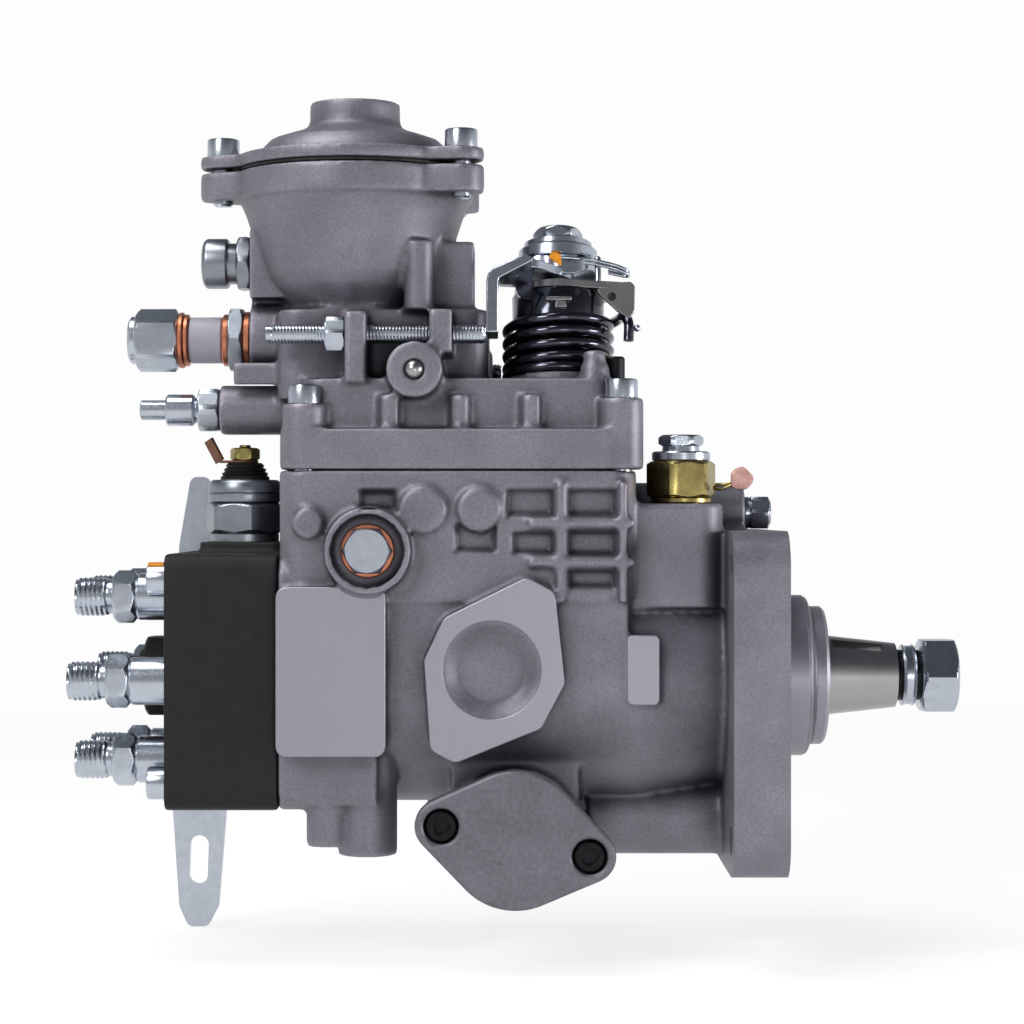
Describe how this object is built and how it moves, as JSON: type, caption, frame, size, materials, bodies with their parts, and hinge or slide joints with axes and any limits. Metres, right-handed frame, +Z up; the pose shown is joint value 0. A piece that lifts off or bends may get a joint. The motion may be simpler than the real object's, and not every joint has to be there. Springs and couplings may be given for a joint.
{
  "type": "diesel injection pump",
  "caption": "Distributor diesel injection pump: flanged cast body, tapered drive shaft, governor cover with boost compensator, sprung throttle lever, shut-off solenoid and black head.",
  "frame": {"origin": "centre of the pilot at the mounting flange's face", "axes": "+X out of the drive end along the shaft, +Z up towards the governor cover, -Y towards the side with the maximum-speed screw"},
  "size_m": [0.2716, 0.114, 0.2631],
  "materials": {
    "cast_aluminium": "sand-cast and bead-blasted, satin",
    "machined_aluminium": "milled, satin",
    "black_oxide_steel": "black oxide, dull",
    "zinc_steel": "bright zinc plate",
    "plain_steel": "ground and oiled",
    "spring_steel": "black phosphate, glossy",
    "copper": "annealed copper",
    "chromate_steel": "yellow chromate over zinc",
    "black_rubber": "matt",
    "black_plastic": "matt",
    "lead": "dull, soft metal"
  },
  "bodies": {
    "pump_body": {"pump_housing": "cast_aluminium", "governor_cover": "cast_aluminium", "compensator_lid": "cast_aluminium", "cover_screws": "zinc_steel", "lid_screws": "zinc_steel", "head_screws": "zinc_steel", "timing_screws": "zinc_steel", "timing_covers": "cast_aluminium", "boost_fitting": "zinc_steel", "return_bolt": "zinc_steel", "return_sleeve": "lead", "return_adapter": "zinc_steel", "copper_washers": "copper", "side_plug": "zinc_steel", "full_load_screw": "zinc_steel", "speed_screws": "zinc_steel", "adjusting_locknuts": "zinc_steel", "inlet_adapter": "chromate_steel", "inlet_cap": "zinc_steel", "wire_seal": "lead", "rear_bracket": "zinc_steel", "distributor_head": "black_oxide_steel", "centre_plug": "plain_steel", "outlet_holders": "zinc_steel", "solenoid_body": "plain_steel", "solenoid_insulator": "black_plastic", "solenoid_terminal": "chromate_steel", "shaft_bush": "plain_steel", "shaft_seal": "black_rubber", "supply_pump_ring": "plain_steel", "plunger_springs": "spring_steel", "timing_spring": "spring_steel", "governor_shaft": "zinc_steel", "diaphragm": "black_rubber", "compensator_spring": "spring_steel", "torsion_spring": "spring_steel", "governor_spring": "spring_steel"},
    "shaft": {"drive_shaft": "plain_steel", "shaft_nut": "zinc_steel", "drive_gear": "plain_steel", "pump_rotor": "plain_steel"},
    "cam": {"cam_disc": "plain_steel", "plunger": "plain_steel"},
    "cage": {"weight_cage": "plain_steel"},
    "sleeve": {"governor_sleeve": "plain_steel"},
    "weight_1": {"flyweight_1": "plain_steel"},
    "weight_2": {"flyweight_2": "plain_steel"},
    "weight_3": {"flyweight_3": "plain_steel"},
    "weight_4": {"flyweight_4": "plain_steel"},
    "lever": {"governor_lever": "plain_steel"},
    "spill": {"spill_ring": "plain_steel"},
    "timing": {"timing_piston": "machined_aluminium"},
    "roller": {"roller_ring": "plain_steel"},
    "throttle": {"throttle_shaft": "plain_steel", "throttle_lever": "zinc_steel", "spring_cup": "spring_steel", "throttle_nut": "zinc_steel"},
    "stem": {"compensator_stem": "plain_steel"},
    "armature": {"solenoid_armature": "plain_steel"},
    "valves": {"delivery_valves": "plain_steel"}
  },
  "joints": [
    {"name": "shaft_turn", "type": "hinge", "parent": "pump_body", "child": "shaft", "pos_m": [0, 0, 0], "axis": [1, 0, 0], "continuous": true},
    {"name": "cam_turn", "type": "hinge", "parent": "pump_body", "child": "cam", "pos_m": [0, 0, 0], "axis": [1, 0, 0], "continuous": true},
    {"name": "cage_turn", "type": "hinge", "parent": "pump_body", "child": "cage", "pos_m": [0, 0.0055, 0.0507], "axis": [1, 0, 0], "continuous": true},
    {"name": "sleeve_slide", "type": "slide", "parent": "pump_body", "child": "sleeve", "axis": [-1, 0, 0], "range_m": [0, 0.002], "stiffness_N_per_m": 400, "springref_m": -0.002, "deforming": ["governor_spring"]},
    {"name": "weight_1_swing", "type": "hinge", "parent": "cage", "child": "weight_1", "pos_m": [-0.062, 0.02, 0.0507], "axis": [0, 0, 1], "range_deg": [-16.8, 0]},
    {"name": "weight_2_swing", "type": "hinge", "parent": "cage", "child": "weight_2", "pos_m": [-0.062, 0.0055, 0.0652], "axis": [0, -1, 0], "range_deg": [-16.8, 0]},
    {"name": "weight_3_swing", "type": "hinge", "parent": "cage", "child": "weight_3", "pos_m": [-0.062, -0.009, 0.0507], "axis": [0, 0, -1], "range_deg": [-16.8, 0]},
    {"name": "weight_4_swing", "type": "hinge", "parent": "cage", "child": "weight_4", "pos_m": [-0.062, 0.0055, 0.0362], "axis": [0, 1, 0], "range_deg": [-16.8, 0]},
    {"name": "lever_swing", "type": "hinge", "parent": "pump_body", "child": "lever", "pos_m": [-0.1123, 0, 0.028], "axis": [0, 1, 0], "range_deg": [-7.04, 0]},
    {"name": "spill_slide", "type": "slide", "parent": "pump_body", "child": "spill", "axis": [1, 0, 0], "range_m": [0, 0.0023]},
    {"name": "timing_slide", "type": "slide", "parent": "pump_body", "child": "timing", "axis": [0, 1, 0], "range_m": [0, 0.008], "stiffness_N_per_m": 800, "springref_m": -0.003, "deforming": ["timing_spring"]},
    {"name": "roller_turn", "type": "hinge", "parent": "pump_body", "child": "roller", "pos_m": [0, 0, 0], "axis": [1, 0, 0], "range_deg": [0, 10.12]},
    {"name": "throttle_turn", "type": "hinge", "parent": "pump_body", "child": "throttle", "pos_m": [-0.0666, -0.004, 0.0912], "axis": [0, 0.1736, 0.9848], "range_deg": [0, 50], "stiffness_Nm_per_rad": 0.6, "springref_deg": -28.65, "deforming": ["torsion_spring"]},
    {"name": "stem_slide", "type": "slide", "parent": "pump_body", "child": "stem", "axis": [0, 0, -1], "range_m": [0, 0.005], "stiffness_N_per_m": 800, "springref_m": -0.002, "deforming": ["diaphragm", "compensator_spring"]},
    {"name": "armature_slide", "type": "slide", "parent": "pump_body", "child": "armature", "axis": [0, 0, 1], "range_m": [0, 0.0015], "stiffness_N_per_m": 400, "springref_m": -0.002},
    {"name": "valve_slide", "type": "slide", "parent": "pump_body", "child": "valves", "axis": [-1, 0, 0], "range_m": [0, 0.0015], "stiffness_N_per_m": 500, "springref_m": -0.001}
  ],
  "couplings": [
    {"joint": "cam_turn", "follows": "shaft_turn", "ratio": 1},
    {"joint": "cage_turn", "follows": "shaft_turn", "ratio": -1.2667},
    {"joint": "lever_swing", "follows": "sleeve_slide", "rad_per_m": -60.597},
    {"joint": "spill_slide", "follows": "sleeve_slide", "ratio": 1.1422},
    {"joint": "roller_turn", "follows": "timing_slide", "rad_per_m": 21.978},
    {"joint": "weight_1_swing", "follows": "sleeve_slide", "rad_per_m": -144.93},
    {"joint": "weight_2_swing", "follows": "sleeve_slide", "rad_per_m": -144.93},
    {"joint": "weight_3_swing", "follows": "sleeve_slide", "rad_per_m": -144.93},
    {"joint": "weight_4_swing", "follows": "sleeve_slide", "rad_per_m": -144.93}
  ]
}
